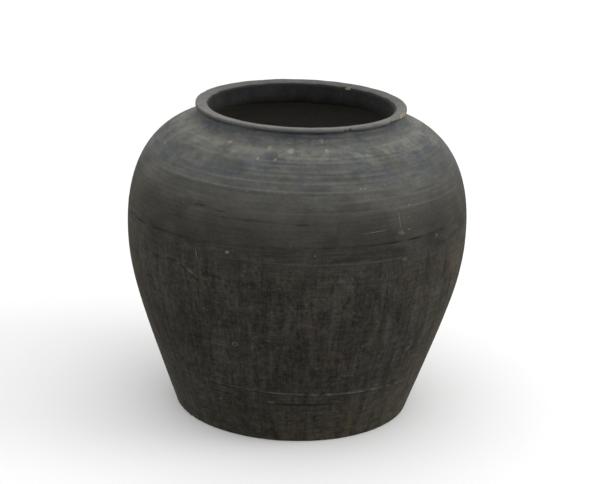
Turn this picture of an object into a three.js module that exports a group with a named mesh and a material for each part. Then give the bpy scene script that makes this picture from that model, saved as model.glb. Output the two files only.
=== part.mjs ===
// A large, wide-shouldered clay jar with a short upright collar and a thick, flat lip.
// It is built up in courses of clay: a floor slab, a foot, a lower wall, a shoulder, a collar
// and a lip. Each course carries a tongue that sits in a groove in the course below it.
// Units are millimetres, +Z is up, and the origin is the centre of the foot, on the ground.
import * as THREE from "three";

// Outside of the jar, from the ground up. Headings are degrees above the outward horizontal.
const FOOT_RADIUS = 147;
const FOOT_HEADING = 70.6;
const BELLY_RADIUS = 210;
const BELLY_HEIGHT = 236;
const ROOT_RADIUS = 142.5; // where the shoulder ends and the hollow of the neck begins
const ROOT_HEIGHT = 360.8;
const ROOT_HEADING = 160.3;
const NECK_RADIUS = 126.5;
const NECK_FOOT = 373; // height at which the neck stands upright
const LIP_RADIUS = 129;
const LIP_TOP = 384;
const UPRIGHT = 90;

// Inside of the jar
const FLOOR_THICKNESS = 15;
const FLOOR_RADIUS = 129; // where the thickened corner of the foot meets the floor
const CORNER_RADIUS = 147.4; // inner radius at the top of that corner
const CORNER_HEIGHT = 42;
const CORNER_HEADING = 60;
const BELLY_WALL = 11;
const SHOULDER_WALL = 12.5;
const MOUTH_RADIUS = 113.5;
const MOUTH_FOOT = 364; // height at which the mouth stands upright

// Edges
const FOOT_ROUND = 3;
const LIP_ROUND = 2;
const LIP_UNDERCUT = 1.2; // depth of the crease under the lip
const DISH_RADIUS = 118; // the underside is hollowed inside this radius
const DISH_DEPTH = 1.5;
const DISH_SLOPE = 6;

// Seams between the courses: the height of each on the outside and on the inside of the wall
const FLOOR_SEAM = { outer: FLOOR_THICKNESS, inner: FLOOR_THICKNESS };
const FOOT_SEAM = { outer: 70, inner: 64 };
const BELLY_SEAM = { outer: 262, inner: 262 };
const NECK_SEAM = { outer: 364.5, inner: 358 };
const LIP_SEAM = { outer: 379, inner: 379 };
const SEAM_GAP = 0.4;
const TONGUE_WIDTH = 0.36; // part of the seam's length
const TONGUE_DEPTH = 0.17; // part of the seam's length

const SEGMENTS = 60;

const point = (radius, height) => new THREE.Vector2(radius, height);

function heading(degrees) {
  const angle = THREE.MathUtils.degToRad(degrees);
  return point(Math.cos(angle), Math.sin(angle));
}

// A smooth bend from one point and heading to another; each pull says how far a heading holds.
function bend(start, startHeading, startPull, end, endHeading, endPull) {
  const leave = start.clone().addScaledVector(heading(startHeading), startPull);
  const arrive = end.clone().addScaledVector(heading(endHeading), -endPull);
  return new THREE.CubicBezierCurve(start, leave, arrive, end);
}

function joined(...curves) {
  const line = new THREE.CurvePath();
  curves.forEach((curve) => line.add(curve));
  return line;
}

function outsideLine() {
  const foot = point(FOOT_RADIUS, 0);
  const belly = point(BELLY_RADIUS, BELLY_HEIGHT);
  const root = point(ROOT_RADIUS, ROOT_HEIGHT);
  const neck = point(NECK_RADIUS, NECK_FOOT);
  const neckTop = point(NECK_RADIUS, LIP_SEAM.outer - LIP_UNDERCUT);
  const crease = point(NECK_RADIUS - LIP_UNDERCUT, LIP_SEAM.outer + SEAM_GAP);
  return joined(
    bend(foot, FOOT_HEADING, 149, belly, UPRIGHT, 58),
    bend(belly, UPRIGHT, 44, root, ROOT_HEADING, 60),
    bend(root, ROOT_HEADING, 9, neck, UPRIGHT, 6),
    new THREE.LineCurve(neck, neckTop),
    new THREE.LineCurve(neckTop, crease),
  );
}

function insideLine() {
  const floor = point(FLOOR_RADIUS, FLOOR_THICKNESS - SEAM_GAP);
  const corner = point(CORNER_RADIUS, CORNER_HEIGHT);
  const belly = point(BELLY_RADIUS - BELLY_WALL, BELLY_HEIGHT);
  const intoWall = heading(ROOT_HEADING + 90);
  const root = point(ROOT_RADIUS, ROOT_HEIGHT).addScaledVector(intoWall, SHOULDER_WALL);
  const mouth = point(MOUTH_RADIUS, MOUTH_FOOT);
  const mouthTop = point(MOUTH_RADIUS, LIP_SEAM.inner + SEAM_GAP);
  return joined(
    bend(floor, CORNER_HEADING, 6, corner, FOOT_HEADING, 12),
    bend(corner, FOOT_HEADING, 105, belly, UPRIGHT, 55),
    bend(belly, UPRIGHT, 40, root, ROOT_HEADING, 54),
    bend(root, ROOT_HEADING, 20, mouth, UPRIGHT, 7),
    new THREE.LineCurve(mouth, mouthTop),
  );
}

// How far along a rising line a height is reached, from 0 to 1, by halving the stretch left.
function reach(line, height) {
  let low = 0;
  let high = 1;
  while (high - low > 1e-6) {
    const middle = (low + high) / 2;
    if (line.getPoint(middle).y < height) {
      low = middle;
    } else {
      high = middle;
    }
  }
  return low;
}

// Points strictly between two heights of a line, from the lower to the upper.
function between(line, lowHeight, highHeight, steps) {
  const low = reach(line, lowHeight);
  const high = reach(line, highHeight);
  const points = [];
  for (let step = 1; step < steps; step += 1) {
    points.push(line.getPoint(low + ((high - low) * step) / steps));
  }
  return points;
}

// Points of a round corner, from one heading off its centre to another.
function roundCorner(centre, radius, from, to, steps = 2) {
  const points = [];
  for (let step = 0; step <= steps; step += 1) {
    const angle = from + ((to - from) * step) / steps;
    points.push(centre.clone().addScaledVector(heading(angle), radius));
  }
  return points;
}

const OUTSIDE = outsideLine();
const INSIDE = insideLine();

// One face of a seam, from the outside in: level, down into the groove, up again and level.
// Side 1 is the underside of the course above, and side -1 the top of the course below.
function seamFace(seam, side) {
  const outer = OUTSIDE.getPoint(reach(OUTSIDE, seam.outer));
  const inner = INSIDE.getPoint(reach(INSIDE, seam.inner));
  const across = inner.clone().sub(outer);
  const length = across.length();
  const up = point(across.y, -across.x).divideScalar(length);
  const lift = (side * SEAM_GAP) / 2;
  const station = (part, rise) => outer.clone()
    .addScaledVector(across, part)
    .addScaledVector(up, lift + rise);
  return [
    station(0, 0),
    station(0.5 - TONGUE_WIDTH / 2, 0),
    station(0.5, -TONGUE_DEPTH * length),
    station(0.5 + TONGUE_WIDTH / 2, 0),
    station(1, 0),
  ];
}

// Turns an outline of radius and height into a solid ring or disc about the Z axis.
function turned(name, color, outline) {
  const geometry = new THREE.LatheGeometry(outline, SEGMENTS);
  geometry.rotateX(Math.PI / 2);
  const material = new THREE.MeshStandardMaterial({ color, roughness: 0.85, metalness: 0 });
  const mesh = new THREE.Mesh(geometry, material);
  mesh.name = name;
  return mesh;
}

function closed(outline) {
  return [...outline, outline[0].clone()];
}

// A course of the wall, between the seam that it stands on and the seam that it carries.
function wallCourse(name, color, below, above, steps) {
  return turned(name, color, closed([
    ...seamFace(below, 1).reverse(),
    ...between(OUTSIDE, below.outer, above.outer, steps),
    ...seamFace(above, -1),
    ...between(INSIDE, below.inner, above.inner, steps).reverse(),
  ]));
}

function baseSlab() {
  const edge = point(FOOT_RADIUS - FOOT_ROUND / 2, FOOT_ROUND);
  return turned("base_slab", 0x3b3733, [
    point(0, DISH_DEPTH),
    point(DISH_RADIUS, DISH_DEPTH),
    point(DISH_RADIUS + DISH_SLOPE, 0),
    ...roundCorner(edge, FOOT_ROUND, -90, -90 + FOOT_HEADING),
    ...seamFace(FLOOR_SEAM, -1),
    point(0, FLOOR_THICKNESS),
  ]);
}

function rimLip() {
  const underside = LIP_SEAM.outer + SEAM_GAP / 2;
  const nose = (LIP_TOP - underside) / 4;
  const noseCentre = point(LIP_RADIUS - nose, underside + nose);
  const outerCentre = point(LIP_RADIUS - LIP_ROUND, LIP_TOP - LIP_ROUND);
  const innerCentre = point(MOUTH_RADIUS + LIP_ROUND, LIP_TOP - LIP_ROUND);
  return turned("rim_lip", 0x6f6f6d, closed([
    ...seamFace(LIP_SEAM, 1).reverse(),
    ...roundCorner(noseCentre, nose, -90, 0),
    ...roundCorner(outerCentre, LIP_ROUND, 0, 90),
    ...roundCorner(innerCentre, LIP_ROUND, 90, 180),
  ]));
}

const jar = new THREE.Group();
jar.add(
  baseSlab(),
  wallCourse("foot_course", 0x37332e, FLOOR_SEAM, FOOT_SEAM, 4),
  wallCourse("lower_wall", 0x34322d, FOOT_SEAM, BELLY_SEAM, 8),
  wallCourse("shoulder_wall", 0x4a4b49, BELLY_SEAM, NECK_SEAM, 9),
  wallCourse("neck_collar", 0x484b4c, NECK_SEAM, LIP_SEAM, 4),
  rimLip(),
);

export default jar;
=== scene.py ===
"""A smoke-blackened clay jar, built course by course round its CAD frame.

Lengths are in metres, +Z is up and the jar's front faces -Y. Azimuths are in radians from the
front, growing towards +X. The jar's outside and inside are two smooth lines of radius and height.
Each course of clay is one closed shell: its outer and inner faces lie on those lines, and it meets
its neighbours in tongue and groove seams. Turning lines, scrape marks, seams and chips are real
relief on the shells, and the smoked clay's colours are procedural.
"""

import math

import bpy
import numpy as np
from bpy.props import FloatProperty, FloatVectorProperty, IntProperty, PointerProperty
from mathutils import Matrix, Vector


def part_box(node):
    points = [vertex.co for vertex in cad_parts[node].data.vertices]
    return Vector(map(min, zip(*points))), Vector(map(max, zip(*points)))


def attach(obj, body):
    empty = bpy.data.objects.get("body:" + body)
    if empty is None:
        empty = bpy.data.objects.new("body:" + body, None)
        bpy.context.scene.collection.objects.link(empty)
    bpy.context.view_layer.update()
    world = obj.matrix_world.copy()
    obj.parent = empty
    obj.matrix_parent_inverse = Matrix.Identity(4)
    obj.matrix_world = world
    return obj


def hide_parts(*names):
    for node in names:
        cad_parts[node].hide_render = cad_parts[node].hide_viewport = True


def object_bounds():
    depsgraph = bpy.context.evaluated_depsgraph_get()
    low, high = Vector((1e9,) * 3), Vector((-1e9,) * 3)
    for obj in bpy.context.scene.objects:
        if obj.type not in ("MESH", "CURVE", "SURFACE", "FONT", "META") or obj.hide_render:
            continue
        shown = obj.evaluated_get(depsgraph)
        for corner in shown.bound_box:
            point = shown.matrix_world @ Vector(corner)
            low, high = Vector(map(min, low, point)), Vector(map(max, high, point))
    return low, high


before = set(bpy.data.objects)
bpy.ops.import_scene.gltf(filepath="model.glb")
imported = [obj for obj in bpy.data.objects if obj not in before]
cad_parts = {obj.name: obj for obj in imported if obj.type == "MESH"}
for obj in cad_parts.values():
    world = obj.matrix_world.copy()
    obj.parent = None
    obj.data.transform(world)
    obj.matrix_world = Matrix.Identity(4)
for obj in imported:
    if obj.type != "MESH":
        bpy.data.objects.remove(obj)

bl_info = {
    "name": "Smoked clay jar",
    "version": (1, 0, 0),
    "blender": (4, 5, 0),
    "location": "3D View > Sidebar > Clay Jar",
    "description": "Builds a smoked clay storage jar from its courses of clay",
    "category": "Add Mesh",
}

CAD_LOW, CAD_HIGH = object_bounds()
MM = 0.001
UPRIGHT = 90.0
FRONT = -math.pi / 2
SHARP_ANGLE = math.radians(38)
CAD_GAP = 0.4 * MM
SEAM_HAIRLINE = 0.02 * MM


def seam_height(course):
    """Height of the seam that a CAD course carries, at the outside of the wall."""
    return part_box(course)[1].z + CAD_GAP / 2


# ---- Settings ----


def length(name, description, default):
    return FloatProperty(name=name, description=description, default=default, unit="LENGTH")


def heading(name, description, default):
    return FloatProperty(name=name, description=description, default=default)


def angle(name, description, degrees):
    return FloatProperty(
        name=name, description=description, default=math.radians(degrees), subtype="ANGLE"
    )


def colour(name, description, default):
    return FloatVectorProperty(
        name=name, description=description, default=default, size=3, subtype="COLOR", min=0, max=1
    )


class JarShape(bpy.types.PropertyGroup):
    """Sizes of the jar's outside and inside lines; those of the CAD box come from the frame."""

    foot_radius: length("Foot radius", "Radius of the foot on the ground", 0.147)
    foot_heading: heading("Foot heading", "Degrees by which the wall leaves the ground", 70.6)
    belly_radius: length("Belly radius", "Radius at the widest", CAD_HIGH.x)
    belly_height: length("Belly height", "Height of the widest ring", 0.236)
    root_radius: length("Root radius", "Radius at which the shoulder ends", 0.1425)
    root_height: length("Root height", "Height at which the shoulder ends", 0.3608)
    root_heading: heading("Root heading", "Heading of the shoulder where it ends, degrees", 160.3)
    neck_radius: length("Neck radius", "Outer radius of the collar", 0.1265)
    neck_foot: length("Neck foot", "Height at which the collar stands upright", 0.373)
    lip_radius: length("Lip radius", "Outer radius of the lip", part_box("rim_lip")[1].x)
    lip_top: length("Lip top", "Height of the lip's flat top", CAD_HIGH.z)
    lip_underside: length("Lip underside", "Height of the crease", seam_height("neck_collar"))
    lip_undercut: length("Lip undercut", "Depth of the crease under the lip", 0.0012)
    mouth_radius: length("Mouth radius", "Inner radius of the collar", 0.1135)
    mouth_foot: length("Mouth foot", "Height at which the mouth stands upright", 0.364)
    floor_height: length("Floor height", "Thickness of the floor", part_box("base_slab")[1].z)
    floor_radius: length("Floor radius", "Radius at which the floor meets the corner", 0.129)
    corner_radius: length("Corner radius", "Inner radius at the top of the corner", 0.1474)
    corner_height: length("Corner height", "Height of the thickened inner corner", 0.042)
    belly_wall: length("Belly wall", "Thickness of the wall at the belly", 0.011)
    shoulder_wall: length("Shoulder wall", "Thickness of the wall at the root", 0.0125)
    foot_seam_inside: length("Foot seam inside", "Height of the foot seam inside", 0.064)
    neck_seam_inside: length("Neck seam inside", "Height of the neck seam inside", 0.358)


class JarSurface(bpy.types.PropertyGroup):
    """Depths of what the potter's hands and tools left in the clay."""

    around: IntProperty(name="Around", description="Points round the jar", default=560, min=60)
    inner_row: length("Inner row", "Spacing of the rows up the inside", 0.006)
    out_of_round: length("Out of round", "How far the wall wavers", 0.0004)
    turning_depth: length("Turning depth", "Depth of the fine turning lines", 0.00005)
    scrape_depth: length("Scrape depth", "Depth of the upright scrape marks", 0.00012)
    seam_depth: length("Seam depth", "Depth of the groove along the belly seam", 0.0007)
    finger_depth: length("Finger depth", "Depth of the finger rings inside", 0.0008)


class JarColours(bpy.types.PropertyGroup):
    """Colours of the smoked clay, in linear values."""

    brown: colour("Brown smoke", "Brown black of the lower wall", (0.043, 0.0387, 0.0312))
    grey: colour("Grey smoke", "Grey of the upper wall", (0.098, 0.098, 0.090))
    # Slate also paints shade on the lip's outer face.
    slate: colour("Slate", "Blue grey of the neck and shoulder", (0.060, 0.070, 0.082))
    tar: colour("Tar", "Green black patches of the lower wall", (0.0175, 0.0180, 0.0145))
    plum: colour("Plum", "Red brown patches of the lower wall", (0.060, 0.0483, 0.0380))
    # Khaki is also painted warm sheen along the jar's left and right sides.
    khaki: colour("Khaki", "Soil rubbed into the foot", (0.088, 0.072, 0.044))
    dust: colour("Dust", "Pale dust on the shoulder", (0.184, 0.181, 0.156))
    ash: colour("Ash", "Cool pale bloom", (0.120, 0.132, 0.137))
    chalk: colour("Chalk", "Pale flecks and scratches", (0.30, 0.285, 0.235))
    lip: colour("Lip", "Worn grey of the lip", (0.152, 0.147, 0.136))
    bare: colour("Bare clay", "Unsmoked clay in chips and rubs", (0.33, 0.27, 0.18))
    # This black is also painted shade in the grooves and in the crease under the lip.
    soot_and_shade: colour("Soot", "Black of grooves and scuffs", (0.012, 0.013, 0.012))
    inner: colour("Inner clay", "Less smoked clay deep inside", (0.195, 0.186, 0.168))
    grit: colour("Grit", "Gritty underside", (0.100, 0.085, 0.066))


class StudioSettings(bpy.types.PropertyGroup):
    """Camera and lights."""

    distance: length("Distance", "Camera's distance from the jar's axis", 2.252)
    elevation: angle("Elevation", "Camera's height angle", 18.09)
    roll: angle("Roll", "Camera's tilt about its view", 1.99)
    turn: angle("Turn", "Camera's turn off the jar's axis", 0.115)
    aim_height: length("Aim height", "Height on the axis that the camera looks at", 0.2054)
    lens: FloatProperty(name="Lens", description="Focal length, millimetres", default=108.2)
    sky: FloatProperty(name="Sky", description="Brightness of the soft light all round", default=1.08)
    ground: FloatProperty(name="Ground", description="Brightness of light from below", default=0.21)
    key: FloatProperty(name="Key", description="Power of the side soft box, watts", default=20)


def settings():
    return bpy.context.scene.clay_jar


# ---- Lines of the jar ----


def direction(degrees):
    return np.array([math.cos(math.radians(degrees)), math.sin(math.radians(degrees))])


def bend(start, start_heading, start_pull, end, end_heading, end_pull, steps=400):
    """A cubic curve from start to end, as rows of radius and height.

    It leaves start and reaches end along the two headings, and each pull says how far the
    heading holds.
    """
    start, end = np.array(start), np.array(end)
    leave = start + direction(start_heading) * start_pull
    arrive = end - direction(end_heading) * end_pull
    t = np.linspace(0, 1, steps)[:, None]
    s = 1 - t
    return s**3 * start + 3 * s**2 * t * leave + 3 * s * t**2 * arrive + t**3 * end


class Line:
    """A rising line of radius and height, read by height or by length along it."""

    def __init__(self, *stretches):
        points = np.vstack(stretches)
        step = np.hypot(*np.diff(points, axis=0).T)
        points = points[np.r_[True, step > 0]]
        step = step[step > 0]
        self.radius, self.height = points.T
        self.along = np.r_[0, np.cumsum(step)]
        self.slope = np.gradient(points, self.along, axis=0)

    def at_height(self, height):
        return np.interp(height, self.height, self.along)

    def place(self, along):
        """Radius and height at a length along the line."""
        return np.interp(along, self.along, self.radius), np.interp(along, self.along, self.height)

    def outward(self, along):
        """The line's right-hand normal, as radial and upright parts."""
        radial = np.interp(along, self.along, self.slope[:, 1])
        upright = -np.interp(along, self.along, self.slope[:, 0])
        size = np.hypot(radial, upright)
        return radial / size, upright / size


def outside_line():
    shape = settings().shape
    foot = (shape.foot_radius, 0)
    belly = (shape.belly_radius, shape.belly_height)
    root = (shape.root_radius, shape.root_height)
    neck = (shape.neck_radius, shape.neck_foot)
    neck_top = (shape.neck_radius, shape.lip_underside - shape.lip_undercut)
    crease = (shape.neck_radius - shape.lip_undercut, shape.lip_underside)
    return Line(
        bend(foot, shape.foot_heading, 0.149, belly, UPRIGHT, 0.058),
        bend(belly, UPRIGHT, 0.044, root, shape.root_heading, 0.060),
        bend(root, shape.root_heading, 0.009, neck, UPRIGHT, 0.006),
        bend(neck, UPRIGHT, 0.001, neck_top, UPRIGHT, 0.001, 40),
        bend(neck_top, UPRIGHT, 0.0008, crease, 180 - 35, 0.0002, 20),
    )


def inside_line():
    shape = settings().shape
    floor = (shape.floor_radius, shape.floor_height)
    corner = (shape.corner_radius, shape.corner_height)
    belly = (shape.belly_radius - shape.belly_wall, shape.belly_height)
    into_wall = direction(shape.root_heading + 90) * shape.shoulder_wall
    root = np.array([shape.root_radius, shape.root_height]) + into_wall
    mouth = (shape.mouth_radius, shape.mouth_foot)
    mouth_top = (shape.mouth_radius, shape.lip_underside)
    return Line(
        bend(floor, 60, 0.006, corner, shape.foot_heading, 0.012),
        bend(corner, shape.foot_heading, 0.105, belly, UPRIGHT, 0.055),
        bend(belly, UPRIGHT, 0.040, root, shape.root_heading, 0.054),
        bend(root, shape.root_heading, 0.020, mouth, UPRIGHT, 0.007),
        bend(mouth, UPRIGHT, 0.001, mouth_top, UPRIGHT, 0.001, 40),
    )


# ---- Relief: what hands and tools left in the clay ----


def smooth(value, low, high):
    """0 below low, 1 above high and a smooth step between."""
    t = np.clip((value - low) / (high - low), 0, 1)
    return t * t * (3 - 2 * t)


def bell(value, centre, width):
    """A bell curve of height 1."""
    return np.exp(-(((value - centre) / width) ** 2))


def turn_from(azimuth, centre):
    """Azimuth measured from a centre, between minus and plus half a turn."""
    return (azimuth - centre + math.pi) % (2 * math.pi) - math.pi


def waves(azimuth, along, seed, count, turns, lengths):
    """Long waves added up: each is the cosine of whole turns round the jar and a length up it.

    turns and lengths are the ranges that the waves are drawn from. The sum has a spread of 1.
    """
    rng = np.random.default_rng(seed)
    total = np.zeros(np.broadcast(azimuth, along).shape)
    for _ in range(count):
        turn = rng.integers(turns[0], turns[1] + 1)
        pitch = math.exp(rng.uniform(math.log(lengths[0]), math.log(lengths[1])))
        phase = rng.uniform(0, 2 * math.pi)
        total += np.cos(turn * azimuth + 2 * math.pi * along / pitch + phase)
    return total / math.sqrt(count / 2)


def waver(azimuth, height):
    """How far the hand-made wall is out of round: two to four slow bulges that lean with height."""
    depth = settings().surface.out_of_round
    slow = (
        0.5 * np.cos(2 * azimuth + 0.8 + 5 * height)
        + 0.3 * np.cos(3 * azimuth - 1.1 - 9 * height)
        + 0.2 * np.cos(4 * azimuth + 2.3 + 14 * height)
    )
    return depth * (slow - 1)


def belly_seam(azimuth):
    """Height of the belly seam, which was pressed a few millimetres out of level."""
    level = seam_height("lower_wall")
    return level + 5.5 * MM * np.sin(azimuth + 0.2) + 1.2 * MM * np.cos(3 * azimuth + 0.4)


def foot_seam(azimuth):
    """Height of the foot line, lower on the right of the front."""
    level = seam_height("foot_course")
    return level - 4.5 * MM * np.sin(azimuth) + 0.8 * MM * np.cos(2 * azimuth)


def level_seam(height):
    return lambda azimuth: np.full_like(azimuth, height)


# Stronger turning lines: height, depth (proud is positive) and width in millimetres, azimuth of
# the middle and half-length round the jar.
TURNING_LINES = (
    (352.5, 0.08, 0.8, -0.2, 1.3),
    (342.0, -0.05, 0.9, 0.5, 1.6),
    (337.3, -0.08, 0.8, 0.1, 0.7),
    (333.4, 0.13, 0.7, -0.2, 1.0),
    (325.0, 0.16, 0.7, -0.3, 0.8),
    (321.5, -0.06, 0.8, -0.6, 0.7),
    (315.0, 0.09, 0.7, 0.7, 0.5),
    (303.0, 0.08, 0.9, 0.8, 0.6),
    (292.0, -0.10, 0.9, -0.35, 0.4),
    (281.0, -0.08, 0.8, -0.9, 0.5),
    (246.5, 0.09, 1.0, 0.3, 0.4),
    (56.0, -0.32, 1.4, 0.08, 0.25),
)


# The groove share darkens grooves partly as sooty clay and partly as painted shade; proud lines get
# pale dust.
CREVICE_DEPTH = 0.2  # depth of a turning line, in millimetres, that soot fills altogether


def outside_relief(azimuth, along, height):
    """Relief along the outward normal, with the shares of it that the clay's colours follow.

    It adds fine turning lines all over, upright scrape marks below the belly, the stronger
    turning lines, the belly seam's groove and the ridge and groove of the foot line.
    """
    surface = settings().surface
    turning = waves(azimuth, along, 11, 60, (-1, 1), (2.2 * MM, 9 * MM))
    turning *= 0.7 + 0.3 * np.cos(2 * azimuth + 30 * along)
    scraped = 1 - smooth(height, 0.225, 0.262)
    scrape = waves(azimuth, along, 23, 70, (28, 110), (90 * MM, 400 * MM))
    scrape *= scraped * (0.6 + 0.4 * np.cos(3 * azimuth - 20 * along))
    relief = surface.turning_depth * turning * (1 - 0.45 * scraped)
    relief += surface.scrape_depth * scrape
    groove_soot_and_shade = np.zeros_like(relief)
    for level, depth, width, middle, reach in TURNING_LINES:
        line = bell(height, level * MM, width * MM) * bell(turn_from(azimuth, middle), 0, reach)
        relief += depth * MM * line
        groove_soot_and_shade -= line * depth / CREVICE_DEPTH
    off = height - belly_seam(azimuth)
    strength = 0.15 + 0.8 * bell(turn_from(azimuth, -1.2), 0, 0.45)
    strength += 0.7 * bell(turn_from(azimuth, 0.72), 0, 0.38)
    strength *= np.clip(1 + 0.5 * waves(azimuth, 0, 83, 16, (6, 60), (1, 2)), 0.1, 1.6)
    groove = strength * bell(off, 0, 0.9 * MM)
    relief -= surface.seam_depth * groove
    relief += 0.3 * surface.seam_depth * strength * bell(off, 3.2 * MM, 2 * MM)
    off = height - foot_seam(azimuth)
    ridge = 0.25 + 0.75 * bell(turn_from(azimuth, 0.3), 0, 0.6)
    ridge *= np.clip(1 + 0.5 * waves(azimuth, 0, 89, 16, (10, 90), (1, 2)), 0.1, 1.6)
    relief += 0.40 * MM * ridge * bell(off, 0.9 * MM, 0.9 * MM)
    under = 0.15 + 0.85 * bell(turn_from(azimuth, -0.55), 0, 0.35)
    relief -= 0.40 * MM * under * bell(off, -0.9 * MM, 1.0 * MM)
    # The groove share darkens the belly seam's groove, and puts painted shadow in the groove under the
    # foot ridge; the ridge itself is lightened.
    groove_soot_and_shade += 1.2 * groove + 0.9 * under * bell(off, -0.9 * MM, 1.0 * MM)
    groove_soot_and_shade -= 1.0 * ridge * bell(off, 0.9 * MM, 1.0 * MM)
    return relief, turning, scrape, groove_soot_and_shade


def inside_relief(azimuth, along, height):
    """Relief inside, outwards along the normal, and the share of it that the colours follow.

    Finger rings climb the wall in a spiral and fade out in the collar, under fine turning lines.
    """
    depth = settings().surface.finger_depth
    rings = np.cos(2 * math.pi * along / (19 * MM) - azimuth)
    rings += 0.5 * np.cos(2 * math.pi * along / (11 * MM) - azimuth + 1)
    rings += 0.3 * waves(azimuth, along, 37, 24, (-4, 4), (12 * MM, 60 * MM))
    fade = 1 - smooth(height, 0.335, 0.352)
    fine = waves(azimuth, along, 41, 30, (-1, 1), (2.5 * MM, 8 * MM))
    return -0.5 * depth * rings * fade - 0.04 * MM * fine, fine + rings * fade


# ---- Shells ----


def azimuths(around):
    return np.arange(around) / around * 2 * math.pi - math.pi


def wrap(radius, azimuth, height):
    """Points at a radius, azimuth and height, as rows of X, Y and Z."""
    angle = azimuth + FRONT
    x, y = radius * np.cos(angle), radius * np.sin(angle)
    return np.stack(np.broadcast_arrays(x, y, height), axis=-1)


def ring_faces(rows, around, closed):
    """Quads between neighbouring rows of a grid that closes round the jar."""
    last = rows if closed else rows - 1
    row, column = np.meshgrid(np.arange(last), np.arange(around), indexing="ij")
    above, beside = (row + 1) % rows, (column + 1) % around
    corners = (row * around + column, row * around + beside,
               above * around + beside, above * around + column)
    return np.stack(corners, axis=-1).reshape(-1, 4).tolist()


def link(name, data):
    made = bpy.data.objects.new(name, data)
    bpy.context.scene.collection.objects.link(made)
    return made


def new_piece(name, points, faces, attributes):
    """A mesh object at the origin with smooth faces, sharp edges and its point attributes."""
    mesh = bpy.data.meshes.new(name)
    mesh.from_pydata(points.tolist(), [], faces)
    for label, values in attributes.items():
        layer = mesh.attributes.new(label, "FLOAT", "POINT")
        layer.data.foreach_set("value", values.astype(np.float32).ravel())
    mesh.polygons.foreach_set("use_smooth", np.ones(len(faces), bool))
    mesh.set_sharp_from_angle(angle=SHARP_ANGLE)
    mesh.update()
    return link(name, mesh)


def place_piece(piece, node, material):
    """Gives a piece its finish, lets it stand for its CAD node and sets it on the jar's body."""
    piece.data.materials.append(material)
    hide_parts(node)
    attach(piece, "root")


def stretch(line, low, high, row):
    """Lengths along a line from the height low to high, one column for each azimuth."""
    start, end = line.at_height(low), line.at_height(high)
    count = max(4, math.ceil(float(np.max(end - start)) / row))
    part = np.linspace(0, 1, count + 1)[:, None]
    return start + (end - start) * part


TONGUE = (0.0, 0.32, 0.41, 0.5, 0.59, 0.68, 1.0)
TONGUE_DIP = (0.0, 0.0, 0.5, 1.0, 0.5, 0.0, 0.0)
TONGUE_DEPTH = 0.17


def seam_rows(outer, inner, side):
    """Rows across a seam from the outer face's edge to the inner one's.

    They run straight across but for the tongue, a V in the middle third that dips downwards.
    """
    rows = []
    across = inner - outer
    size = np.linalg.norm(across, axis=-1, keepdims=True)
    down = np.array([0, 0, -1.0])
    for part, dip in zip(TONGUE[1:-1], TONGUE_DIP[1:-1]):
        lift = down * (dip * TONGUE_DEPTH * size - side * SEAM_HAIRLINE)
        rows.append(outer + across * part + lift)
    return rows


def face_of(line, azimuth, low, high, row, relief):
    """One face of a course, on a line between two seam heights, with its relief and shares."""
    along = stretch(line, low, high, row)
    radius, height = line.place(along)
    radial, upright = line.outward(along)
    depth, *shares = relief(azimuth[None, :], along, height)
    radius = radius + radial * depth + waver(azimuth[None, :], height)
    return wrap(radius, azimuth[None, :], height + upright * depth), shares


def pad_rows(values, before, after):
    return np.vstack([np.zeros((before, values.shape[1])), values, np.zeros((after, values.shape[1]))])


def face_shares(shares, before, after):
    """The outer face's shares by name, with rows of zeros for the rest of the shell."""
    labels = ("turning", "scrape", "groove_soot_and_shade")
    return {label: pad_rows(share, before, after) for label, share in zip(labels, shares)}


def seam_edges(seams, azimuth):
    """Heights of a face's lower and upper edge, a hair line inside its two seams."""
    low, high = (seam(azimuth) for seam in seams)
    return low + SEAM_HAIRLINE, high - SEAM_HAIRLINE


def wall_course(name, around, row, outer_seams, inner_seams):
    """A ring of clay between two seams, closed round its outline.

    Each pair of seams gives the heights of the lower and the upper one as functions of azimuth.
    """
    azimuth = azimuths(around)
    edges = seam_edges(outer_seams, azimuth)
    outer, shares = face_of(outside_line(), azimuth, *edges, row, outside_relief)
    edges = seam_edges(inner_seams, azimuth)
    inner_row = settings().surface.inner_row
    inner, rings = face_of(inside_line(), azimuth, *edges, inner_row, inside_relief)
    top = seam_rows(outer[-1], inner[-1], -1)
    bottom = seam_rows(outer[0], inner[0], 1)
    rows = np.array([*outer, *top, *inner[::-1], *bottom[::-1]])
    after = len(bottom)
    middle = len(top) + len(inner)
    attributes = face_shares(shares, 0, middle + after)
    attributes["turning"][len(outer) + len(top):len(rows) - after] = rings[0][::-1]
    attributes["inside"] = pad_rows(np.ones(inner.shape[:2]), len(outer) + len(top), after)
    return new_piece(name, rows.reshape(-1, 3), ring_faces(len(rows), around, True), attributes)


def outline(*corners, row):
    """Points along a path of radius and height, no further apart than row.

    A corner of two numbers is a point. One of five is a round corner: its centre, its radius
    and the headings in degrees from which and to which it turns.
    """
    path = []
    for corner in corners:
        if len(corner) == 2:
            path.append(corner)
            continue
        centre, radius, start, end = corner[:2], *corner[2:]
        steps = math.ceil(abs(math.radians(end - start)) * radius / row) + 2
        path += [centre + radius * direction(turn) for turn in np.linspace(start, end, steps)]
    path = np.array(path)
    along = np.r_[0, np.cumsum(np.hypot(*np.diff(path, axis=0).T))]
    even = np.linspace(0, along[-1], math.ceil(along[-1] / row) + 1)
    return np.stack([np.interp(even, along, part) for part in path.T], axis=-1), even


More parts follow.
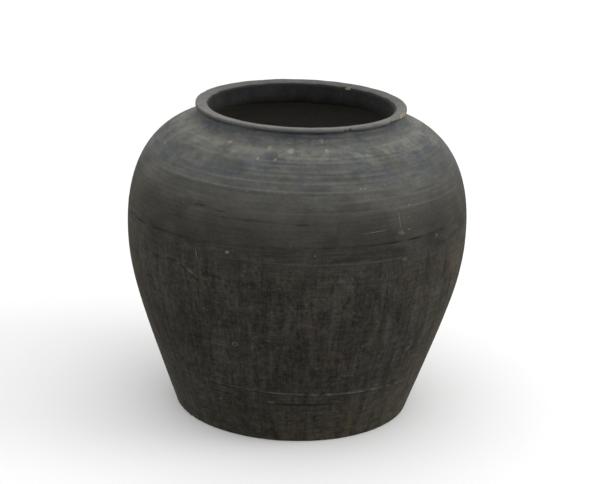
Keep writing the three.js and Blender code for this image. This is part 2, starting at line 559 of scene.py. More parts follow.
# Chips out of the lip: azimuth, half-width in radians, heading of the knock in degrees, depth
# in millimetres and how pale the bare clay is.
LIP_CHIPS = (
    (0.445, 0.050, -40, 1.7, 0.10),
    (0.480, 0.110, -50, 0.7, 0.15),
    (1.020, 0.090, -35, 1.4, 0.20),
    (1.270, 0.100, 10, 1.9, 0.95),
    (1.150, 0.200, 45, 0.8, 0.10),
    (2.600, 0.040, 140, 1.0, 0.45),
    (-2.730, 0.020, 60, 0.6, 0.60),
    (-0.900, 0.040, 45, 0.4, 0.20),
    (-1.900, 0.060, 40, 0.7, 0.30),
    (1.900, 0.050, -30, 0.9, 0.35),
    (-2.300, 0.030, -40, 0.8, 0.30),
)


def chipped(radius, height, azimuth, skin):
    """Cuts the lip's chips: clay past a ragged plane is brought back to that plane.

    Each plane faces its chip's heading. It lies outside the lip except within the chip's width,
    where it sinks in by the chip's depth. Also gives how bare the clay is at each point.
    """
    bare = np.zeros_like(radius)
    for number, (middle, reach, knock, depth, pale) in enumerate(LIP_CHIPS):
        facing = direction(knock)
        ragged = 1 + 0.25 * waves(azimuth, 0, 50 + number, 12, (30, 140), (1, 2))
        inset = reach - np.abs(turn_from(azimuth, middle))
        sink = depth * MM * ragged * smooth(inset, 0, 0.45 * reach)
        limit = np.max(skin @ facing) - sink
        excess = np.clip(radius * facing[0] + height * facing[1] - limit, 0, None)
        excess = np.where(inset > 0, excess, 0)
        radius = radius - excess * facing[0]
        height = height - excess * facing[1]
        bare = np.maximum(bare, pale * smooth(excess, 0.05 * MM, 0.3 * MM))
    return radius, height, bare


LIP_AROUND = 900


def lip_ring(name, around, row):
    """The lip: a band whose top falls a little to a softly rounded inner edge, waved and chipped."""
    shape = settings().shape
    inner, outer = shape.mouth_radius, shape.lip_radius
    under, top = shape.lip_underside + SEAM_HAIRLINE, shape.lip_top - 0.05 * MM
    crease = shape.neck_radius - shape.lip_undercut
    nose, edge, inner_edge, dip = 1.2 * MM, 1.5 * MM, 5.5 * MM, 0.9 * MM
    centre = top - dip - inner_edge
    end = math.degrees(math.asin((under - centre) / inner_edge))
    skin, along = outline(
        (crease, under),
        (outer - nose, under + nose, nose, -90, 0),
        (outer - edge, top - edge, edge, 0, 90),
        (inner + inner_edge * math.cos(math.radians(end)), centre, inner_edge, 95, 180 - end),
        row=row,
    )
    azimuth = azimuths(around)[None, :]
    radius, height, along = skin[:, :1], skin[:, 1:], along[:, None]
    fine = waves(azimuth, along, 61, 40, (-1, 1), (1.5 * MM, 6 * MM))
    lumps = waves(azimuth, along, 67, 40, (5, 40), (6 * MM, 40 * MM))
    free = smooth(along, 0, 2 * MM) * smooth(along[-1] - along, 0, 2 * MM)
    on_top = smooth(height, top - 2.4 * MM, top - dip)
    swell = free * (0.03 * MM * fine + 0.07 * MM * lumps)
    wear = bell(radius, outer - 1.2 * MM, 1.4 * MM) + bell(radius, inner + 1.0 * MM, 1.1 * MM)
    wear = wear * on_top * np.clip(0.6 + 0.4 * lumps, 0, 1)
    height = height + on_top * (swell - 0.08 * MM * (1 + np.cos(3 * azimuth + 0.7)))
    radius = radius + (1 - on_top) * swell * np.sign(radius - (inner + outer) / 2)
    inside = smooth(radius, inner + 8 * MM, inner + 2 * MM) * smooth(height, under, under + 1.5 * MM)
    radius = radius + 1.3 * MM * inside * bell(turn_from(azimuth, 1.3), 0, 0.8)
    radius, height, bare = chipped(radius, height, azimuth, skin)
    points = wrap(radius + waver(azimuth, shape.lip_underside), azimuth, height)
    bottom = seam_rows(points[0], points[-1], 1)
    rows = np.array([*points, *bottom[::-1]])
    mouth = smooth(along - 0.25 * MM * lumps, along[-1] - 3.6 * MM, along[-1] - 2.0 * MM)
    shares = {"turning": fine, "bare": bare, "wear": wear, "mouth": mouth}
    attributes = {label: pad_rows(share, 0, len(bottom)) for label, share in shares.items()}
    return new_piece(name, rows.reshape(-1, 3), ring_faces(len(rows), around, True), attributes)


def disc_faces(rows, around):
    """Quads between the rows of a disc and a fan of triangles round each of its two poles."""
    first, last = rows * around, rows * around + 1
    column = np.arange(around)
    beside = (column + 1) % around
    top_row = (rows - 1) * around
    fans = np.vstack([
        np.stack([np.full(around, first), beside, column], axis=-1),
        np.stack([np.full(around, last), top_row + column, top_row + beside], axis=-1),
    ])
    return ring_faces(rows, around, False) + fans.tolist()


def underside_relief(radius, azimuth):
    """Height of the underside and its marks: a shallow dish with wire-cut arcs and grit."""
    x, y = radius * np.cos(azimuth), radius * np.sin(azimuth)
    dish = 1.5 * MM * (1 - smooth(radius, 0.110, 0.126))
    arcs = np.hypot(x - 0.09, y + 0.20)
    cut = waves(0 * arcs, arcs, 71, 30, (0, 0), (3 * MM, 14 * MM))
    grit = waves(azimuth, radius, 73, 60, (10, 90), (4 * MM, 30 * MM))
    return dish + 0.06 * MM * np.clip(1.5 + cut + 0.7 * grit, 0, None), cut


def floor_relief(radius, azimuth):
    """Relief of the floor inside: a spiral left by the fingers, from the middle outwards."""
    spiral = np.cos(2 * math.pi * radius / (16 * MM) - azimuth)
    return 0.35 * MM * spiral * smooth(radius, 0, 0.02) * (1 - smooth(radius, 0.115, 0.127))


def floor_slab(name, around, row):
    """The floor: underside, rounded foot edge, outer face, seam and the floor inside."""
    shape = settings().shape
    azimuth = azimuths(around)[None, :]
    level = azimuth * 0
    edge, middle = 3 * MM, 2.5 * MM
    tilt = math.radians(shape.foot_heading)
    edge_radius = shape.foot_radius - edge * math.tan(tilt / 2)
    flat = np.arange(middle, edge_radius, 2.5 * MM)[:, None]
    under_height, cut = underside_relief(flat, azimuth)
    under = wrap(flat + level, azimuth, under_height)
    turns = np.linspace(-90, shape.foot_heading - 90, 8)[1:-1, None]
    rise = edge * (1 + np.sin(np.radians(turns))) + level
    reach = edge_radius + edge * np.cos(np.radians(turns))
    worn = 0.12 * MM * waves(azimuth, reach, 79, 30, (8, 60), (20 * MM, 60 * MM))
    round_edge = wrap(reach + worn + waver(azimuth, rise), azimuth, rise)
    low = np.full(around, edge * (1 - math.cos(tilt)))
    high = np.full(around, shape.floor_height - SEAM_HAIRLINE)
    outer, shares = face_of(outside_line(), azimuth[0], low, high, row, outside_relief)
    radii = np.arange(shape.floor_radius, middle, -2.5 * MM)[:, None]
    inner = wrap(radii + level, azimuth, shape.floor_height + floor_relief(radii, azimuth))
    across = seam_rows(outer[-1], inner[0], -1)
    rows = np.array([*under, *round_edge, *outer, *across, *inner])
    before = len(under) + len(round_edge)
    after = len(across) + len(inner)
    attributes = face_shares(shares, before, after)
    attributes["turning"][:len(under)] = cut
    attributes["inside"] = pad_rows(np.ones(inner.shape[:2]), len(rows) - len(inner), 0)
    attributes = {label: np.r_[values.ravel(), 0, 0] for label, values in attributes.items()}
    attributes["inside"][-1] = 1
    poles = np.array([[0, 0, under[0, :, 2].mean()], [0, 0, shape.floor_height]])
    points = np.vstack([rows.reshape(-1, 3), poles])
    return new_piece(name, points, disc_faces(len(rows), around), attributes)


# ---- Materials ----


def opaque(linear):
    return (*linear, 1.0)


class Nodes:
    """Adds and links shader nodes. Wherever a number goes in, so may another node's socket."""

    def __init__(self, tree):
        self.tree = tree
        self.tree.nodes.clear()

    def feed(self, socket, value):
        if isinstance(value, bpy.types.NodeSocket):
            self.tree.links.new(value, socket)
        else:
            socket.default_value = value

    def add(self, kind, inputs=None, **options):
        node = self.tree.nodes.new("ShaderNode" + kind)
        for key, value in options.items():
            setattr(node, key, value)
        for key, value in (inputs or {}).items():
            self.feed(node.inputs[key], value)
        return node

    def math(self, operation, *values):
        node = self.add("Math", operation=operation)
        for socket, value in zip(node.inputs, values):
            self.feed(socket, value)
        return node.outputs[0]

    def chain(self, operation, first, *others):
        for value in others:
            first = self.math(operation, first, value)
        return first

    def total(self, *values):
        return self.chain("ADD", *values)

    def product(self, *values):
        return self.chain("MULTIPLY", *values)

    def highest(self, *values):
        return self.chain("MAXIMUM", *values)

    def ease(self, value, low, high, start=0.0, end=1.0):
        """A smooth step from start to end as the value goes from low to high."""
        if low > high:
            low, high, start, end = high, low, end, start
        ends = {"From Min": low, "From Max": high, "To Min": start, "To Max": end}
        node = self.add(
            "MapRange", {"Value": value, **ends}, interpolation_type="SMOOTHSTEP"
        )
        return node.outputs["Result"]

    def noise(self, vector, scale=1.0, detail=3.0, roughness=0.55, distortion=0.0):
        inputs = {"Scale": scale, "Detail": detail, "Roughness": roughness}
        inputs.update({"Vector": vector, "Distortion": distortion})
        return self.add("TexNoise", inputs).outputs["Fac"]

    def mix(self, share, first, second, blend="MIX"):
        node = self.add("Mix", data_type="RGBA", blend_type=blend, clamp_factor=True)
        self.feed(node.inputs[0], share)
        self.feed(node.inputs[6], first)
        self.feed(node.inputs[7], second)
        return node.outputs[2]

    def attribute(self, name):
        return self.add("Attribute", attribute_name=name).outputs["Fac"]


GLOSS = 0.2
SHEEN = 0.055
SHEEN_ROUGHNESS = 0.4
SHEEN_TINT = (1.0, 0.93, 0.80, 1.0)


class Clay(Nodes):
    """Clay built up in layers of colour and relief by nodes that know their place on the jar."""

    def __init__(self, tree, ground):
        super().__init__(tree)
        self.skin = opaque(ground)
        self.relief = 0.0
        self.point = self.add("TexCoord").outputs["Object"]
        x, y, self.height = self.add("SeparateXYZ", {"Vector": self.point}).outputs
        radius = self.math("SQRT", self.total(self.product(x, x), self.product(y, y)))
        radius = self.math("MAXIMUM", radius, MM)
        self.across = self.math("DIVIDE", x, radius)
        self.back = self.math("DIVIDE", y, radius)
        self.ragged = self.noise(self.point, 420, 3, 0.6)
        self.low = self.rise(0.275, 0.215)

    def lay(self, colour, *shares):
        """Covers a share of the skin, the product of the shares given, with another colour."""
        self.skin = self.mix(self.product(*shares), self.skin, opaque(colour))

    def shade(self, tone):
        """Multiplies the skin's brightness."""
        grey = self.add("CombineXYZ", {"X": tone, "Y": tone, "Z": tone}).outputs[0]
        self.skin = self.mix(1.0, self.skin, grey, "MULTIPLY")

    def rise(self, *steps):
        """A smooth step by the height on the jar."""
        return self.ease(self.height, *steps)

    def centred(self, value):
        return self.math("SUBTRACT", value, 0.5)

    def raise_by(self, height):
        """Adds to the fine relief, in millimetres."""
        self.relief = self.total(self.relief, height)

    def streaks(self, around, up, shift=0.0, detail=5, roughness=0.65):
        """Noise with so many cells to a radian round the jar and so many up each metre."""
        inputs = {
            "X": self.product(self.across, around),
            "Y": self.product(self.back, around),
            "Z": self.math("MULTIPLY_ADD", self.height, up, shift),
        }
        return self.noise(self.add("CombineXYZ", inputs).outputs[0], 1.0, detail, roughness)

    def towards(self, azimuth, reach):
        """1 at an azimuth of the jar, fading to 0 at the reach on either side, in degrees."""
        turn = math.radians(azimuth)
        facing = self.total(
            self.product(self.across, math.sin(turn)), self.product(self.back, -math.cos(turn))
        )
        return self.ease(facing, math.cos(math.radians(reach)), 1)

    def finish(self, roughness):
        """Makes the shader: matt, with a faint warm sheen like that of fine dust."""
        bump = self.add("Bump", {"Distance": MM, "Height": self.relief}).outputs["Normal"]
        inputs = {"Base Color": self.skin, "Roughness": roughness, "Normal": bump}
        shader = self.add("BsdfPrincipled", inputs)
        shader.inputs["Specular IOR Level"].default_value = GLOSS
        shader.inputs["Sheen Weight"].default_value = SHEEN
        shader.inputs["Sheen Roughness"].default_value = SHEEN_ROUGHNESS
        shader.inputs["Sheen Tint"].default_value = SHEEN_TINT
        self.add("OutputMaterial", {"Surface": shader.outputs[0]})


def smoke(clay, palette):
    """The smoked body: brown black low down and grey above, in broad clouds."""
    clay.lay(palette.grey, clay.rise(0.255, 0.372))
    clouds = clay.noise(clay.point, 16, 6, 0.62, 0.6)
    clay.shade(clay.ease(clouds, 0.32, 0.68, 0.78, 1.20))


def slate(clay, palette):
    """Blue grey patches, drawn out sideways, on the neck and upper shoulder, and a sooty crease under
    the lip darkened further with painted shade.
    """
    patches = clay.ease(clay.streaks(6, 45), 0.42, 0.62)
    high = clay.rise(0.305, 0.345)
    clay.lay(palette.slate, high, patches, 0.75)
    clay.lay(palette.slate, clay.rise(0.3625, 0.3680, 0.0, 0.45))
    smears = clay.noise(clay.point, 70, 5, 0.65)
    clay.shade(clay.total(1.0, clay.product(high, clay.centred(smears), 0.9)))
    # Painted shade under the lip's overhang darkens the sooty crease.
    crease = clay.rise(0.3745, 0.3785)
    clay.lay(palette.soot_and_shade, crease, 0.45)


def mottle(clay, palette):
    """The lower wall's fine patches of tar, plum and khaki, mostly upright, under pale and dark
    veils, and the darker band along the belly seam."""
    upright = clay.streaks(42, 38, 3.0, roughness=0.72)
    spots = clay.noise(clay.point, 115, 6, 0.78)
    blend = clay.product(clay.total(upright, spots), 0.5)
    warm = clay.ease(clay.noise(clay.point, 9, 3), 0.40, 0.58, 0.25, 0.9)
    clay.lay(palette.plum, clay.low, clay.ease(blend, 0.50, 0.59), warm)
    clay.lay(palette.tar, clay.low, clay.ease(blend, 0.51, 0.41), 0.80)
    veils = clay.streaks(13, 13, 5.0)
    clay.lay(palette.grey, clay.low, clay.ease(veils, 0.50, 0.66), 0.30)
    clay.shade(clay.total(1.0, clay.product(clay.low, clay.ease(veils, 0.46, 0.32), -0.34)))
    band = clay.product(clay.rise(0.238, 0.250), clay.rise(0.272, 0.258))
    smudges = clay.ease(clay.streaks(4, 90, 2.0), 0.42, 0.58)
    clay.lay(palette.slate, band, 0.12)
    clay.lay(palette.tar, band, smudges, 0.65)
    rubbed = clay.ease(clay.streaks(20, 60, 9.0, roughness=0.7), 0.54, 0.68)
    clay.lay(palette.khaki, clay.low, rubbed, 0.45)


def shoulder_dust(clay, palette):
    """Pale dust in sideways streaks on the shoulder, thickest in the hollow of the neck's root."""
    high = clay.rise(0.275, 0.362)
    brushed = clay.ease(clay.streaks(4, 110, detail=6), 0.42, 0.68)
    clay.lay(palette.dust, high, brushed, 0.42)
    lines = clay.ease(clay.streaks(2.0, 420, 2.0, detail=1, roughness=0.55), 0.64, 0.72)
    clay.lay(palette.dust, high, lines, 0.25)
    patches = clay.noise(clay.point, 48, 5, 0.65)
    lift = clay.math("MULTIPLY_ADD", patches, 20 * MM, -10 * MM)
    level = clay.total(clay.height, lift)
    root = clay.product(clay.ease(level, 0.3540, 0.3600), clay.ease(level, 0.3665, 0.3610))
    clay.lay(palette.dust, root, clay.ease(patches, 0.35, 0.62, 0.20, 0.70))


def foot_soil(clay, palette):
    """Khaki soil on the foot, up the right side and along both sides, where it is partly painted warm
    sheen; painted shade darkens the bottom of the foot.
    """
    cover = clay.streaks(13, 40, 5.0, detail=4, roughness=0.6)
    foot = clay.rise(0.090, 0.025)
    amount = clay.math("MULTIPLY_ADD", clay.towards(42, 80), 0.42, 0.20)
    clay.lay(palette.khaki, foot, clay.ease(cover, 0.36, 0.66), amount)
    # Painted shade: the bottom of the foot is darkened.
    clay.shade(clay.rise(0.02, 0.11, 0.84, 1.0))
    side = clay.product(clay.towards(85, 60), clay.low, clay.ease(cover, 0.40, 0.65))
    clay.lay(palette.khaki, side, 0.38)
    # Partly soil and partly painted warm sheen: khaki on the jar's left and right as seen from the
    # front.
    flank_soil_and_sheen = clay.ease(clay.math("ABSOLUTE", clay.across), 0.80, 1.0)
    flank_soil_and_sheen = clay.product(flank_soil_and_sheen, clay.rise(0.320, 0.270))
    clay.lay(palette.khaki, flank_soil_and_sheen, clay.ease(cover, 0.35, 0.6), 0.38)


def tooling(clay):
    """Light and shade of turning lines, hair lines, upright scrape and comb marks and the
    sideways drag of the hand low down, with the relief of the finest of them."""
    fine = clay.centred(clay.streaks(2.2, 420, 7.0, detail=4))
    hair = clay.centred(clay.streaks(3.0, 1100, 1.0, detail=2, roughness=0.55))
    comb = clay.centred(clay.streaks(120, 9, 2.0, detail=4, roughness=0.6))
    comb = clay.product(comb, clay.low)
    drag = clay.centred(clay.streaks(8, 170, 12.0, roughness=0.7))
    drag = clay.product(drag, clay.rise(0.300, 0.255))
    tone = clay.total(
        1.0,
        clay.product(clay.attribute("turning"), 0.035),
        clay.product(clay.attribute("scrape"), 0.07),
        clay.product(fine, clay.rise(0.34, 0.26, 0.4, 0.85)),
        clay.product(hair, 0.3),
        clay.product(comb, 0.85),
        clay.product(drag, clay.rise(0.16, 0.08, 1.05, 1.8)),
    )
    clay.shade(clay.highest(tone, 0.3))
    clay.raise_by(clay.product(fine, 0.15))
    clay.raise_by(clay.product(comb, 0.15))


def hollows(clay, palette):
    """Soot and painted shade in the grooves, dust on the ridges, a black mouth and paler clay deep
    inside.
    """
    groove_soot_and_shade = clay.attribute("groove_soot_and_shade")
    # Painted shade: the groove share darkens the grooves as though shade fell in them, along with
    # sooty clay.
    clay.lay(palette.soot_and_shade, groove_soot_and_shade, 0.8)
    clay.lay(palette.dust, groove_soot_and_shade, -0.6)
    inside = clay.attribute("inside")
    patches = clay.streaks(8, 40, 6.0, detail=4, roughness=0.55)
    mouth = clay.product(inside, clay.rise(0.3500, 0.3530))
    clay.lay(palette.soot_and_shade, mouth, clay.ease(patches, 0.3, 0.7, 1.0, 0.88))
    clay.lay(palette.inner, inside, clay.rise(0.3530, 0.3495))


def grain(clay):
    """The matt, mottled grain of unglazed clay, with fine pits."""
    mottles = clay.centred(clay.noise(clay.point, 230, 5, 0.75))
    depth = clay.math("MULTIPLY_ADD", clay.low, 0.95, 0.75)
    clay.shade(clay.math("MULTIPLY_ADD", mottles, depth, 1.0))
    clay.raise_by(clay.product(clay.noise(clay.point, 700, 3, 0.6), 0.10))
    pits = clay.noise(clay.point, 260, 2, 0.5)
    clay.raise_by(clay.product(clay.ease(pits, 0.30, 0.24), -0.12))
    clay.shade(clay.ease(pits, 0.30, 0.24, 1.0, 0.7))


# Marks on the outside of the wall: azimuth in degrees, height, half-width and half-height in
# millimetres, lean in degrees and strength.
CHALK_MARKS = (
    (-69.5, 344, 1.7, 1.3, 0, 1.0), (-35.5, 362, 3.4, 4.2, 0, 0.6), (-17.5, 353.5, 1.7, 3.0, 0, 0.7),
    (-14.5, 362, 2.6, 4.0, 0, 0.5), (-10, 354, 1.6, 2.8, 0, 0.6), (-4, 361, 4.2, 6.0, 0, 0.7),
    (13, 361.5, 2.4, 5.0, 0, 0.65), (11.5, 369.5, 1.6, 2.6, 0, 0.6), (22.4, 328, 0.9, 1.0, 0, 1.0),
    (24.1, 327.6, 0.9, 0.9, 0, 1.0),
    (40.5, 304.5, 1.5, 1.2, 0, 0.6), (26, 280.8, 18, 0.5, 3, 0.4), (35.5, 289, 0.5, 12, 3, 0.45),
    (37.5, 291, 0.4, 9, 3, 0.3), (-33.2, 244, 0.5, 8.5, 16, 0.6), (6, 257, 0.9, 0.9, 0, 0.9),
    (37, 243.5, 3.5, 1.8, 0, 0.25), (-30.5, 51, 1.7, 1.4, 0, 0.7),
)
CLAY_MARKS = (
    (-22, 253.5, 2.6, 2.2, 0, 0.4), (35.8, 275.5, 5, 2.6, -10, 0.22), (39, 278, 2.2, 1.5, 0, 0.2),
    (-35.5, 221, 6, 2.0, -18, 0.22), (52, 262, 2.5, 2, 0, 0.2), (-8, 58, 4, 2, 0, 0.2),
)
SOOT_MARKS = (
    (-57, 228, 5, 4, -20, 0.6), (-51.5, 225, 8, 3.4, 0, 0.75), (-44, 228.3, 9, 1.5, 4, 0.65),
    (-38.5, 223.5, 8, 1.6, -30, 0.8), (-33.5, 213.5, 9, 1.5, -27, 0.75),
    (-27.5, 222, 15, 3, -2, 0.55), (-34, 300.5, 9, 1.5, 4, 0.55),
    (-26, 298, 7, 1.2, 4, 0.5), (-15, 293.5, 9, 1.1, 3, 0.45), (2, 291.5, 9, 1.5, 0, 0.6),
    (-42, 283, 8, 2, 0, 0.35), (4.5, 128, 5, 26, 0, 0.35), (25, 98, 6, 18, 4, 0.35),
    (-47, 140, 6, 24, -8, 0.4), (-57, 118, 6, 26, -10, 0.35), (-7, 143, 4, 12, 0, 0.3),
    (33, 190, 5, 20, 6, 0.3), (47, 160, 6, 30, 12, 0.3), (-28, 178, 6, 14, 0, 0.3),
)
PLUM_MARKS = ((14.5, 142.5, 2.6, 6, 0, 0.8), (14.5, 117, 2.4, 5.5, 0, 0.8), (20, 232, 22, 2.2, 0, 0.4))
ASH_MARKS = (
    (47, 118, 4, 5, 0, 0.35), (33, 118, 1.6, 2.4, 0, 0.4), (-40, 352, 9, 4, 0, 0.35),
    (55, 133, 3, 7, 10, 0.3),
)
# Rings left by bubbles and drops: azimuth, height, radius in millimetres and strength.
CHALK_RINGS = ((-5, 369.5, 3.6, 0.22), (11, 370.5, 2.4, 0.3))
CLAY_RINGS = ((-20.5, 136.5, 3.2, 0.5),)
ASH_RINGS = ((25.5, 138, 3.2, 0.45),)


def wall_frame(azimuth, height):
    """The point of the outer wall at an azimuth and height, and the wall's own directions there."""
    line = outside_line()
    along = line.at_height(height)
    radius, _ = line.place(along)
    radial, upright = line.outward(along)
    angle = azimuth + FRONT
    out = Vector((math.cos(angle), math.sin(angle), 0))
    around = Vector((-math.sin(angle), math.cos(angle), 0))
    normal = out * radial + Vector((0, 0, upright))
    return out * radius + Vector((0, 0, height)), (around, normal.cross(around), normal)


MARK_REACH = 12 * MM  # how far a mark reaches in and out of the wall
MARK_RAGGEDNESS = 1.6


def distance_from(clay, azimuth, height, half_width, half_height, lean):
    """Distance from a mark's middle in half-widths and half-heights, with a ragged edge."""
    middle, (around, up, normal) = wall_frame(math.radians(azimuth), height * MM)
    lean = math.radians(lean)
    x = around * math.cos(lean) + up * math.sin(lean)
    y = up * math.cos(lean) - around * math.sin(lean)
    turn = Matrix((x, y, normal)).transposed().to_euler()
    inputs = {"Vector": clay.point, "Location": middle, "Rotation": turn}
    inputs["Scale"] = (half_width * MM, half_height * MM, MARK_REACH)
    local = clay.add("Mapping", inputs, vector_type="TEXTURE").outputs[0]
    length = clay.add("VectorMath", {0: local}, operation="LENGTH").outputs["Value"]
    return clay.math("MULTIPLY_ADD", clay.centred(clay.ragged), MARK_RAGGEDNESS, length)


def patches_of(clay, marks):
    shares = []
    for *shape, strength in marks:
        shares.append(clay.ease(distance_from(clay, *shape), 1.15, 0.55, 0.0, strength))
    return clay.highest(*shares)


def rings_of(clay, rings):
    shares = []
    for azimuth, height, radius, strength in rings:
        away = distance_from(clay, azimuth, height, radius, radius, 0)
        band = clay.product(clay.ease(away, 0.45, 0.8), clay.ease(away, 1.15, 0.8))
        shares.append(clay.product(band, strength))
    return clay.highest(*shares)


def marks(clay, palette):
    """The scuffs, scratches, flecks and rings that the jar has picked up."""
    clay.lay(palette.soot_and_shade, patches_of(clay, SOOT_MARKS))
    clay.lay(palette.plum, patches_of(clay, PLUM_MARKS))
    clay.lay(palette.ash, clay.highest(patches_of(clay, ASH_MARKS), rings_of(clay, ASH_RINGS)))
    clay.lay(palette.bare, clay.highest(patches_of(clay, CLAY_MARKS), rings_of(clay, CLAY_RINGS)))
    chalk = clay.highest(patches_of(clay, CHALK_MARKS), rings_of(clay, CHALK_RINGS))
    clay.lay(palette.chalk, chalk, 0.8)
    specks = clay.ease(clay.noise(clay.point, 330, 1, 0.4, 0.3), 0.76, 0.80)
    clay.lay(palette.dust, specks, 0.5)


def wall_coat(clay, palette):
    """The whole wall's coat, from the foot to the crease under the lip."""
    smoke(clay, palette)
    mottle(clay, palette)
    slate(clay, palette)
    shoulder_dust(clay, palette)
    foot_soil(clay, palette)
    tooling(clay)
    hollows(clay, palette)
    marks(clay, palette)
    grain(clay)
    return clay.ease(clay.noise(clay.point, 30, 3), 0.3, 0.7, 0.70, 0.88)


def lip_coat(clay, palette):
    """Worn mid grey, paler along the worn edges, with sooty clay inside the mouth; painted shade
    darkens the back half of the lip and its outer face.
    """
    patches = clay.streaks(6, 60, roughness=0.6)
    clay.shade(clay.ease(patches, 0.3, 0.7, 0.88, 1.12))
    # Painted shade: the lip darkens towards the back of the jar.
    clay.shade(clay.ease(clay.back, -0.9, 1.0, 1.0, 0.60))
    # Painted shade: the slate colour darkens the lip's rounded outer face.
    clay.lay(palette.slate, clay.rise(0.3830, 0.3800, 0, 0.85))
    clay.lay(palette.dust, clay.attribute("wear"), 0.35)
    clay.shade(clay.math("MULTIPLY_ADD", clay.attribute("turning"), 0.03, 1.0))
    clay.lay(palette.soot_and_shade, clay.attribute("mouth"), 0.94)
    clay.lay(palette.bare, clay.attribute("bare"))
    grain(clay)
    return 0.8


def base_coat(clay, palette):
    """The floor's outer edge like the wall, the underside gritty, with a worn ring under it."""
    smoke(clay, palette)
    mottle(clay, palette)
    foot_soil(clay, palette)
    tooling(clay)
    hollows(clay, palette)
    normal = clay.add("NewGeometry").outputs["Normal"]
    facing = clay.add("SeparateXYZ", {"Vector": normal}).outputs["Z"]
    under = clay.ease(facing, -0.55, -0.85)
    patches = clay.noise(clay.point, 45, 4, 0.6)
    clay.lay(palette.grit, under, clay.ease(patches, 0.3, 0.6, 0.55, 0.95))
    sand = clay.noise(clay.point, 520, 2, 0.5)
    clay.lay(palette.dust, under, clay.ease(sand, 0.64, 0.70), 0.6)
    clay.lay(palette.soot_and_shade, under, clay.ease(sand, 0.34, 0.28), 0.6)
    clay.raise_by(clay.product(under, sand, 0.5))
    grain(clay)
    return 0.88


def clay_material(slot, ground, coat):
    """Clay of a ground colour under a coat, a function that also gives the roughness."""
    material = bpy.data.materials.new(slot)
    material.use_nodes = True
    clay = Clay(material.node_tree, ground)
    clay.finish(coat(clay, settings().colours))
    return material


# ---- Stage ----


def camera_matrix(studio):
    """The camera's place: on the jar's front, raised by the elevation and turned and rolled."""
    lift = studio.elevation
    ahead = Vector((0, math.cos(lift), -math.sin(lift)))
    right = Vector((1, 0, 0))
    up = right.cross(ahead)
    turned = ahead * math.cos(studio.turn) + right * math.sin(studio.turn)
    side = right * math.cos(studio.turn) - ahead * math.sin(studio.turn)
    x = side * math.cos(studio.roll) + up * math.sin(studio.roll)
    y = up * math.cos(studio.roll) - side * math.sin(studio.roll)
    matrix = Matrix((x, y, -turned)).transposed().to_4x4()
    matrix.translation = Vector((0, 0, studio.aim_height)) - ahead * studio.distance
    return matrix


SENSOR_WIDTH = 36.0


def add_camera(studio):
    data = bpy.data.cameras.new("jar_camera")
    data.lens = studio.lens
    data.sensor_width = SENSOR_WIDTH
    data.sensor_fit = "HORIZONTAL"
    camera = link("jar_camera", data)
    camera.matrix_world = camera_matrix(studio)
    bpy.context.scene.camera = camera


def add_sky(studio):
    """Soft even light from the whole sky, and a fainter one from below the horizon."""
    world = bpy.data.worlds.new("studio")
    world.use_nodes = True
    sky = Nodes(world.node_tree)
    facing = sky.add("TexCoord").outputs["Generated"]
    rise = sky.add("SeparateXYZ", {"Vector": facing}).outputs["Z"]
    strength = sky.ease(rise, -0.05, 0.05, studio.ground, studio.sky)
    background = sky.add("Background", {"Strength": strength})
    background.inputs["Color"].default_value = (1, 1, 1, 1)
    sky.add("OutputWorld", {"Surface": background.outputs[0]})
    bpy.context.scene.world = world


SIDE_BOX_SIZE = 1.6
SIDE_BOX_PLACE = Vector((2.4, -0.3, 1.5))
SIDE_BOX_AIM = Vector((0, 0, 0.2))


def add_side_box(studio):
    """A large soft box on the jar's right, a little in front of it."""
    data = bpy.data.lights.new("side_box", "AREA")
    data.shape = "DISK"
    data.size = SIDE_BOX_SIZE
    data.energy = studio.key
    box = link("side_box", data)
    box.matrix_world = (SIDE_BOX_AIM - SIDE_BOX_PLACE).to_track_quat("-Z", "Y").to_matrix().to_4x4()
    box.location = SIDE_BOX_PLACE


FLOOR_REACH = 80.0


def add_floor():
    """A wide pale floor. It lights nothing itself: the sky's ground light stands in for it."""
    far = FLOOR_REACH
    corners = [(-far, -far, 0), (far, -far, 0), (far, far, 0), (-far, far, 0)]
    mesh = bpy.data.meshes.new("pale_floor")
    mesh.from_pydata(corners, [], [(0, 1, 2, 3)])
    floor = link("pale_floor", mesh)
    material = bpy.data.materials.new("pale_floor")
    material.use_nodes = True
    paint = Nodes(material.node_tree)
    shade = paint.noise(paint.add("TexCoord").outputs["Object"], 3, 2)
    pale = paint.mix(shade, opaque((0.92, 0.92, 0.92)), opaque((0.94, 0.94, 0.94)))
    shader = paint.add("BsdfPrincipled", {"Base Color": pale})
    shader.inputs["Roughness"].default_value = 0.9
    shader.inputs["Specular IOR Level"].default_value = 0.0
    paint.add("OutputMaterial", {"Surface": shader.outputs[0]})
    mesh.materials.append(material)
    floor.visible_diffuse = False
    floor.visible_glossy = False


# ---- Add-on ----


class ClayJarSettings(bpy.types.PropertyGroup):
    """All the settings of the clay jar."""

    shape: PointerProperty(type=JarShape)
    surface: PointerProperty(type=JarSurface)
    colours: PointerProperty(type=JarColours)
    studio: PointerProperty(type=StudioSettings)


class JAR_OT_floor(bpy.types.Operator):
    """Adds the floor slab"""

    bl_idname = "jar.floor"
    bl_label = "Floor slab"

    def execute(self, context):
        slab = floor_slab("floor_slab", settings().surface.around, 0.6 * MM)
        material = clay_material("base_clay", settings().colours.brown, base_coat)
        place_piece(slab, "base_slab", material)
        return {"FINISHED"}


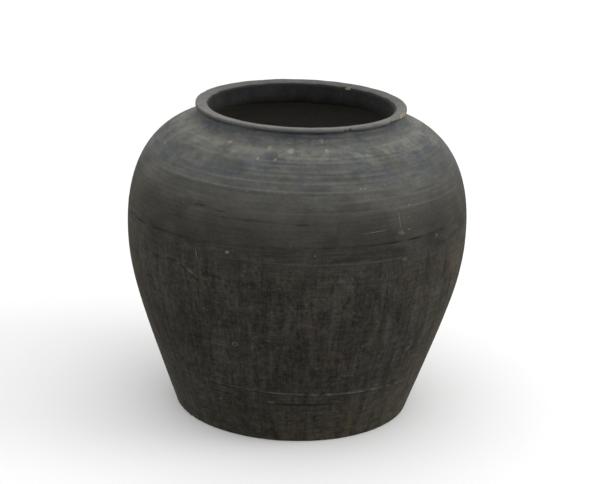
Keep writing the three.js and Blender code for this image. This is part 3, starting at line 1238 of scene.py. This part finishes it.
class JAR_OT_walls(bpy.types.Operator):
    """Adds the courses of the wall: foot, lower wall, shoulder and collar"""

    bl_idname = "jar.walls"
    bl_label = "Wall courses"

    def execute(self, context):
        shape, around = settings().shape, settings().surface.around
        floor, lip = level_seam(shape.floor_height), level_seam(shape.lip_underside)
        neck = level_seam(seam_height("shoulder_wall"))
        foot_inside = level_seam(shape.foot_seam_inside)
        belly_inside = level_seam(seam_height("lower_wall"))
        neck_inside = level_seam(shape.neck_seam_inside)
        slots = ("wall_clay", "shoulder_clay")
        brown = settings().colours.brown
        materials = {slot: clay_material(slot, brown, wall_coat) for slot in slots}
        courses = (
            ("foot_ring", "foot_course", "wall_clay", 0.5 * MM, foot_seam, foot_inside),
            ("flaring_wall", "lower_wall", "wall_clay", 1.65 * MM, belly_seam, belly_inside),
            ("shoulder", "shoulder_wall", "shoulder_clay", 1.05 * MM, neck, neck_inside),
            ("collar", "neck_collar", "shoulder_clay", 0.4 * MM, lip, lip),
        )
        below, below_inside = floor, floor
        for name, node, slot, row, above, above_inside in courses:
            seams = (below, above), (below_inside, above_inside)
            place_piece(wall_course(name, around, row, *seams), node, materials[slot])
            below, below_inside = above, above_inside
        return {"FINISHED"}


class JAR_OT_lip(bpy.types.Operator):
    """Adds the flat lip"""

    bl_idname = "jar.lip"
    bl_label = "Lip"

    def execute(self, context):
        lip = lip_ring("flat_lip", LIP_AROUND, 0.3 * MM)
        material = clay_material("lip_clay", settings().colours.lip, lip_coat)
        place_piece(lip, "rim_lip", material)
        return {"FINISHED"}


class JAR_OT_stage(bpy.types.Operator):
    """Adds the pale floor, the soft light and the camera"""

    bl_idname = "jar.stage"
    bl_label = "Stage"

    def execute(self, context):
        add_camera(settings().studio)
        add_sky(settings().studio)
        add_side_box(settings().studio)
        add_floor()
        context.scene.view_settings.view_transform = "Standard"
        return {"FINISHED"}


class JAR_PT_panel(bpy.types.Panel):
    """Lists the jar's settings and the buttons that build it"""

    bl_label = "Clay Jar"
    bl_space_type = "VIEW_3D"
    bl_region_type = "UI"
    bl_category = "Clay Jar"

    def draw(self, context):
        for group in (settings().shape, settings().surface, settings().colours, settings().studio):
            box = self.layout.box()
            for name in group.__annotations__:
                box.prop(group, name)
        for operator in OPERATORS:
            self.layout.operator(operator.bl_idname)


OPERATORS = (JAR_OT_floor, JAR_OT_walls, JAR_OT_lip, JAR_OT_stage)
GROUPS = (JarShape, JarSurface, JarColours, StudioSettings, ClayJarSettings)


def register():
    for made in (*GROUPS, *OPERATORS, JAR_PT_panel):
        bpy.utils.register_class(made)
    bpy.types.Scene.clay_jar = PointerProperty(type=ClayJarSettings)


def unregister():
    del bpy.types.Scene.clay_jar
    for made in (JAR_PT_panel, *reversed(OPERATORS), *reversed(GROUPS)):
        bpy.utils.unregister_class(made)


def main():
    register()
    bpy.ops.jar.floor()
    bpy.ops.jar.walls()
    bpy.ops.jar.lip()
    bpy.ops.jar.stage()


if __name__ == "__main__":
    main()
